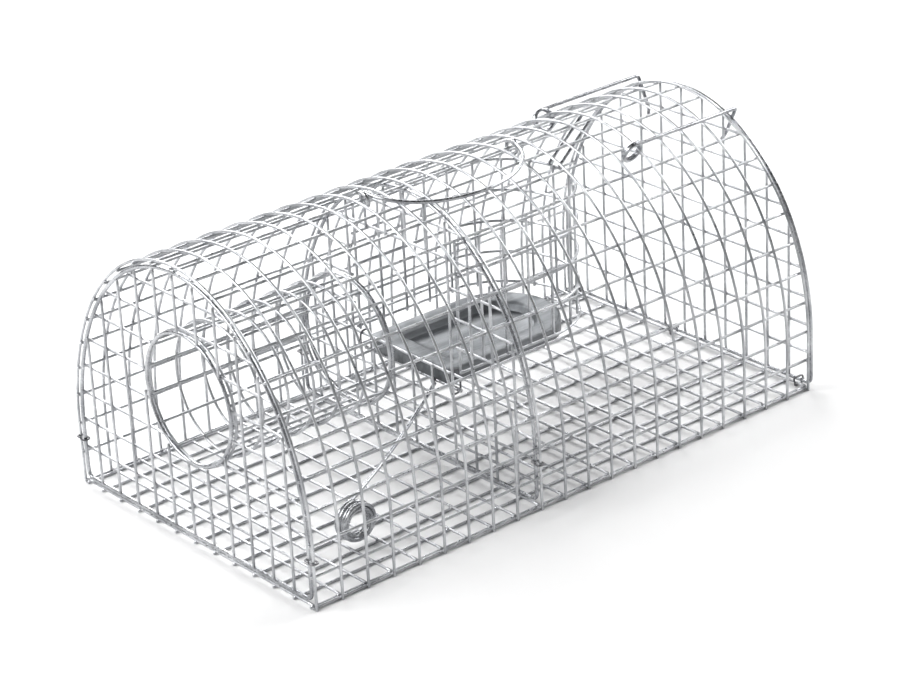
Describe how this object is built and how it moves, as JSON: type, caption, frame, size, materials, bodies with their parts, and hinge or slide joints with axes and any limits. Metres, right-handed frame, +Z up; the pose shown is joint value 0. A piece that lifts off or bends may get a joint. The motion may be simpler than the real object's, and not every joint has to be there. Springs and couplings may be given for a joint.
{
  "type": "live catch trap",
  "caption": "Arched wire mesh cage trap with an entry tunnel, a counterweighted tilting pan, a latched rear door and a carry handle.",
  "frame": {"origin": "on the ground, under the middle long wire of the floor, halfway between the two ends of the cage", "axes": "+X from the entry to the rear door, +Y across the cage to its far wall, +Z up"},
  "size_m": [0.4115, 0.2354, 0.1824],
  "materials": {
    "mesh_wire": "bright galvanised welded mesh",
    "frame_wire": "bright galvanised wire",
    "pan_sheet": "grey galvanised sheet, pressed"
  },
  "bodies": {
    "cage": {"skin_near_wall": "mesh_wire", "skin_near_shoulder": "mesh_wire", "skin_roof": "mesh_wire", "skin_far_shoulder": "mesh_wire", "skin_far_wall": "mesh_wire", "floor_mesh": "mesh_wire", "front_frame": "frame_wire", "front_mesh_below_mouth": "mesh_wire", "front_mesh_near": "mesh_wire", "front_mesh_far": "mesh_wire", "front_mesh_above_mouth": "mesh_wire", "tunnel_far_upper": "mesh_wire", "tunnel_top": "mesh_wire", "tunnel_near_upper": "mesh_wire", "tunnel_near_lower": "mesh_wire", "tunnel_bottom": "mesh_wire", "tunnel_far_lower": "mesh_wire", "tunnel_mouth_ring": "frame_wire", "tunnel_end_ring": "frame_wire", "partition_frame": "frame_wire", "partition_below_doorway": "mesh_wire", "partition_beside_doorway_near": "mesh_wire", "partition_beside_doorway_far": "mesh_wire", "partition_above_doorway": "mesh_wire", "hood_near_side": "mesh_wire", "hood_near_bend": "mesh_wire", "hood_end": "mesh_wire", "hood_far_bend": "mesh_wire", "hood_far_side": "mesh_wire", "hood_strut_near": "frame_wire", "hood_strut_far": "frame_wire", "hinge_ring_near": "frame_wire", "hinge_ring_middle": "frame_wire", "hinge_ring_far": "frame_wire", "pivot_eye_near": "frame_wire", "pivot_eye_far": "frame_wire", "front_clip_near": "frame_wire", "front_clip_far": "frame_wire", "partition_clip_near": "frame_wire", "partition_clip_far": "frame_wire"},
    "tilting_pan": {"pan": "pan_sheet", "pan_pivot_wire": "frame_wire", "counterweight_lever": "frame_wire", "counterweight_coil": "frame_wire"},
    "rear_door": {"door_frame": "frame_wire", "door_panel": "mesh_wire"},
    "near_latch": {"latch_near": "frame_wire"},
    "far_latch": {"latch_far": "frame_wire"},
    "handle": {"carry_handle": "frame_wire"}
  },
  "joints": [
    {"name": "pan_tilt", "type": "hinge", "parent": "cage", "child": "tilting_pan", "pos_m": [-0.02378, 0, 0.052], "axis": [0, 1, 0], "range_deg": [0, 25]},
    {"name": "door_swing", "type": "hinge", "parent": "cage", "child": "rear_door", "pos_m": [0.20338, 0, 0.0034], "axis": [0, 1, 0], "range_deg": [0, 90]},
    {"name": "near_latch_lift", "type": "hinge", "parent": "cage", "child": "near_latch", "pos_m": [0.12383, -0.04309, 0.1685], "axis": [0, -0.8988, -0.4383], "range_deg": [0, 80]},
    {"name": "far_latch_lift", "type": "hinge", "parent": "cage", "child": "far_latch", "pos_m": [0.12383, 0.04309, 0.1685], "axis": [0, -0.8988, 0.4383], "range_deg": [0, 80]},
    {"name": "handle_swing", "type": "hinge", "parent": "cage", "child": "handle", "pos_m": [0, 0, 0.1769], "axis": [-1, 0, 0], "range_deg": [0, 130]}
  ]
}
